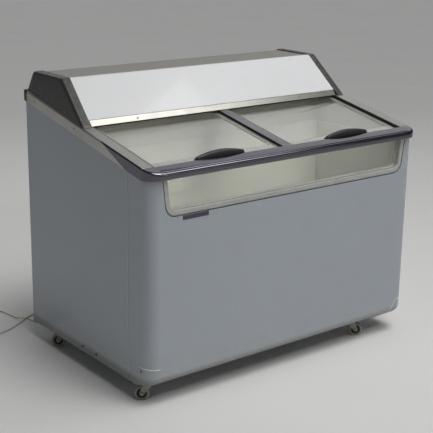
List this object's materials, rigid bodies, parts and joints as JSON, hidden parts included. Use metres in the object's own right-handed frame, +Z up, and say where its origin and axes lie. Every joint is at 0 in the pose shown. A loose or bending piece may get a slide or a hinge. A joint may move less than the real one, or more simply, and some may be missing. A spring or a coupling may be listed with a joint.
{
  "type": "display chest freezer",
  "caption": "Shop chest freezer with a sloping top, sliding glass lids, a glazed front slot, a rear hood and swivel casters, with its mains lead and earth lead.",
  "frame": {"origin": "on the floor, under the middle of the freezer's outline, leads left out", "axes": "+X to the right seen from the front, +Y to the rear, +Z up; the front faces -Y"},
  "size_m": [1.4265, 1.153, 1.012],
  "materials": {
    "white_paint": "glossy white enamel",
    "hood_white": "satin white enamel",
    "hood_charcoal": "moulded, fine texture",
    "hood_brown": "satin",
    "stainless": "brushed",
    "chrome": "polished",
    "aluminium": "extruded, anodised",
    "galvanised": "zinc plated sheet",
    "black_plastic": "moulded",
    "liner": "semi-gloss",
    "cream_plastic": "moulded",
    "glass": "clear",
    "foam": "rigid foam",
    "compressor_black": "black enamel",
    "copper": "bare copper tube",
    "fin_metal": "bare",
    "wheel_nylon": "moulded nylon",
    "cord_white": "smooth sheath",
    "earth_green": "smooth sheath"
  },
  "bodies": {
    "cabinet": {"front_panel": "white_paint", "left_side_panel": "white_paint", "right_side_panel": "white_paint", "hood_front_panel": "hood_white", "hood_left_end": "hood_charcoal", "hood_right_end": "hood_charcoal", "hood_top": "hood_brown", "left_side_rail": "stainless", "right_side_rail": "stainless", "rear_rail": "stainless", "front_rail": "chrome", "left_corner_cap": "chrome", "right_corner_cap": "chrome", "centre_mullion": "aluminium", "evaporator_plate": "aluminium", "rear_panel": "galvanised", "base_frame": "galvanised", "rear_deck": "galvanised", "fan_shroud": "galvanised", "fan_motor": "galvanised", "caster_plate_front_left": "galvanised", "caster_plate_front_right": "galvanised", "caster_plate_rear_left": "galvanised", "caster_plate_rear_right": "galvanised", "left_rear_cap": "black_plastic", "right_rear_cap": "black_plastic", "left_lid_track": "black_plastic", "right_lid_track": "black_plastic", "electrical_box": "black_plastic", "cord_gland": "black_plastic", "liner_tub": "liner", "window_frame": "cream_plastic", "window_outer_glass": "glass", "window_inner_glass": "glass", "foam_insulation": "foam", "compressor": "compressor_black", "discharge_pipe": "copper", "condenser": "fin_metal", "earth_lug": "fin_metal", "power_cord": "cord_white", "power_cord_coil": "cord_white", "power_plug": "cord_white", "earth_wire": "earth_green", "earth_wire_coil": "earth_green"},
    "left_lid": {"left_lid_frame": "aluminium", "left_lid_glass": "glass", "left_lid_handle": "black_plastic"},
    "right_lid": {"right_lid_frame": "aluminium", "right_lid_glass": "glass", "right_lid_handle": "black_plastic"},
    "fan": {"condenser_fan": "black_plastic"},
    "dial": {"thermostat_knob": "cream_plastic"},
    "fork_front_left": {"caster_fork_front_left": "galvanised"},
    "wheel_front_left": {"caster_wheel_front_left": "wheel_nylon"},
    "fork_front_right": {"caster_fork_front_right": "galvanised"},
    "wheel_front_right": {"caster_wheel_front_right": "wheel_nylon"},
    "fork_rear_left": {"caster_fork_rear_left": "galvanised"},
    "wheel_rear_left": {"caster_wheel_rear_left": "wheel_nylon"},
    "fork_rear_right": {"caster_fork_rear_right": "galvanised"},
    "wheel_rear_right": {"caster_wheel_rear_right": "wheel_nylon"}
  },
  "joints": [
    {"name": "left_lid_slide", "type": "slide", "parent": "cabinet", "child": "left_lid", "axis": [0, 0.9825, 0.1863], "range_m": [0, 0.28]},
    {"name": "right_lid_slide", "type": "slide", "parent": "cabinet", "child": "right_lid", "axis": [0, 0.9825, 0.1863], "range_m": [0, 0.28]},
    {"name": "swivel_front_left", "type": "hinge", "parent": "cabinet", "child": "fork_front_left", "pos_m": [-0.553, -0.3055, 0.06], "axis": [0, 0, 1], "continuous": true},
    {"name": "roll_front_left", "type": "hinge", "parent": "fork_front_left", "child": "wheel_front_left", "pos_m": [-0.56718, -0.29442, 0.025], "axis": [-0.6157, -0.788, 0], "continuous": true},
    {"name": "swivel_front_right", "type": "hinge", "parent": "cabinet", "child": "fork_front_right", "pos_m": [0.392, -0.3055, 0.06], "axis": [0, 0, 1], "continuous": true},
    {"name": "roll_front_right", "type": "hinge", "parent": "fork_front_right", "child": "wheel_front_right", "pos_m": [0.40618, -0.31658, 0.025], "axis": [0.6157, 0.788, 0], "continuous": true},
    {"name": "swivel_rear_left", "type": "hinge", "parent": "cabinet", "child": "fork_rear_left", "pos_m": [-0.553, 0.2435, 0.06], "axis": [0, 0, 1], "continuous": true},
    {"name": "roll_rear_left", "type": "hinge", "parent": "fork_rear_left", "child": "wheel_rear_left", "pos_m": [-0.56718, 0.25458, 0.025], "axis": [-0.6157, -0.788, 0], "continuous": true},
    {"name": "swivel_rear_right", "type": "hinge", "parent": "cabinet", "child": "fork_rear_right", "pos_m": [0.392, 0.2435, 0.06], "axis": [0, 0, 1], "continuous": true},
    {"name": "roll_rear_right", "type": "hinge", "parent": "fork_rear_right", "child": "wheel_rear_right", "pos_m": [0.37782, 0.25458, 0.025], "axis": [-0.6157, -0.788, 0], "continuous": true},
    {"name": "fan_spin", "type": "hinge", "parent": "cabinet", "child": "fan", "pos_m": [-0.28, 0.2995, 0.246], "axis": [0, 1, 0], "continuous": true},
    {"name": "thermostat_turn", "type": "hinge", "parent": "cabinet", "child": "dial", "pos_m": [0.45, 0.376, 0.221], "axis": [0, 1, 0], "range_deg": [0, 270]}
  ]
}
